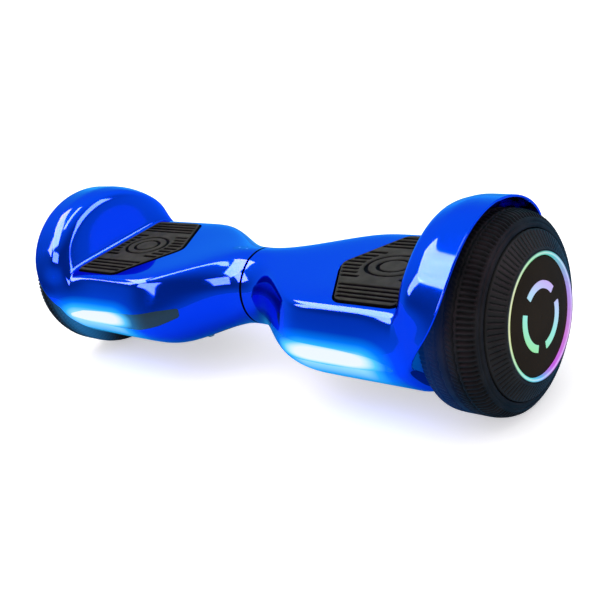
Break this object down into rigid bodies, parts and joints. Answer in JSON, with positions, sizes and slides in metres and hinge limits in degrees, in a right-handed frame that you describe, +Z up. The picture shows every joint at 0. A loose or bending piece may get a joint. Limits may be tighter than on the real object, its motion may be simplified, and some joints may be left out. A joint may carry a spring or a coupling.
{
  "type": "self balancing hoverboard",
  "caption": "Two-wheeled self balancing board: two gloss shells twist about a middle shaft, with foot pads, front lights and hub motor wheels under fenders.",
  "frame": {"origin": "on the ground in the middle between the two wheels, straight below the twist axis", "axes": "+X towards the right wheel along both axles, -Y towards the headlights (riding direction), +Z up"},
  "size_m": [0.583, 0.186, 0.1754],
  "materials": {
    "shell": "electroplated gloss blue",
    "pan": "fine texture",
    "casting": "as cast",
    "pad": "matt",
    "moulding": "fine texture",
    "circuit": "solder mask",
    "lamp_lens": "smoked translucent",
    "steel": "turned",
    "laminate": "stacked laminations",
    "copper": "enamelled winding wire",
    "tread": "moulded tread",
    "magnet": "nickel plated",
    "cover_black": "ribbed",
    "cover_metal": "machined",
    "light": "frosted light guide",
    "disc": "gloss",
    "bronze": "sintered",
    "seal": "matt",
    "cell_wrap": "shrink wrapped case",
    "contact": "gold plated",
    "button": "dished"
  },
  "bodies": {
    "left_half": {"upper_shell_l": "shell", "lower_shell_l": "pan", "frame_l": "casting", "sensor_board_l": "circuit", "headlight_lens_l": "lamp_lens", "headlight_board_l": "circuit", "axle_clamp_l": "casting", "body_screws_l": "steel", "stator_l": "laminate", "windings_l": "copper", "axle_l": "steel", "pivot_shaft": "steel", "shaft_clip": "steel", "shaft_pins": "steel", "neck_seal": "seal", "cross_cable": "seal", "battery_pack": "cell_wrap", "battery_strap": "steel", "charge_port": "moulding", "charge_pins": "contact", "status_window": "lamp_lens"},
    "right_half": {"upper_shell_r": "shell", "lower_shell_r": "pan", "frame_r": "casting", "sensor_board_r": "circuit", "headlight_lens_r": "lamp_lens", "headlight_board_r": "circuit", "axle_clamp_r": "casting", "body_screws_r": "steel", "stator_r": "laminate", "windings_r": "copper", "axle_r": "steel", "pivot_bushes": "bronze", "main_board": "circuit", "heat_sink": "cover_metal", "power_bezel": "moulding"},
    "left_pad": {"foot_pad_l": "pad", "pad_carrier_l": "moulding"},
    "right_pad": {"foot_pad_r": "pad", "pad_carrier_r": "moulding"},
    "left_wheel": {"tyre_l": "tread", "rim_l": "steel", "magnets_l": "magnet", "inner_cover_l": "cover_metal", "outer_cover_l": "cover_black", "wheel_bearings_l": "steel", "light_ring_l": "light", "hub_face_l": "disc", "hub_motif_l": "light"},
    "right_wheel": {"tyre_r": "tread", "rim_r": "steel", "magnets_r": "magnet", "inner_cover_r": "cover_metal", "outer_cover_r": "cover_black", "wheel_bearings_r": "steel", "light_ring_r": "light", "hub_face_r": "disc", "hub_motif_r": "light"},
    "charge_cap": {"charge_cap": "seal"},
    "power_button": {"power_button": "button"}
  },
  "joints": [
    {"name": "board_twist", "type": "hinge", "parent": "left_half", "child": "right_half", "pos_m": [0, 0, 0.0825], "axis": [1, 0, 0], "range_deg": [-11, 11]},
    {"name": "left_wheel_spin", "type": "hinge", "parent": "left_half", "child": "left_wheel", "pos_m": [-0.252, 0, 0.0825], "axis": [1, 0, 0], "continuous": true},
    {"name": "right_wheel_spin", "type": "hinge", "parent": "right_half", "child": "right_wheel", "pos_m": [0.252, 0, 0.0825], "axis": [1, 0, 0], "continuous": true},
    {"name": "left_pad_press", "type": "slide", "parent": "left_half", "child": "left_pad", "axis": [0, 0, -1], "range_m": [0, 0.002], "stiffness_N_per_m": 20000},
    {"name": "right_pad_press", "type": "slide", "parent": "right_half", "child": "right_pad", "axis": [0, 0, -1], "range_m": [0, 0.002], "stiffness_N_per_m": 20000},
    {"name": "power_button_press", "type": "slide", "parent": "right_half", "child": "power_button", "axis": [0, -1, 0], "range_m": [0, 0.0015], "stiffness_N_per_m": 1500},
    {"name": "charge_cap_open", "type": "hinge", "parent": "left_half", "child": "charge_cap", "pos_m": [-0.13, 0.0898, 0.093], "axis": [1, 0, 0], "range_deg": [0, 130]}
  ]
}
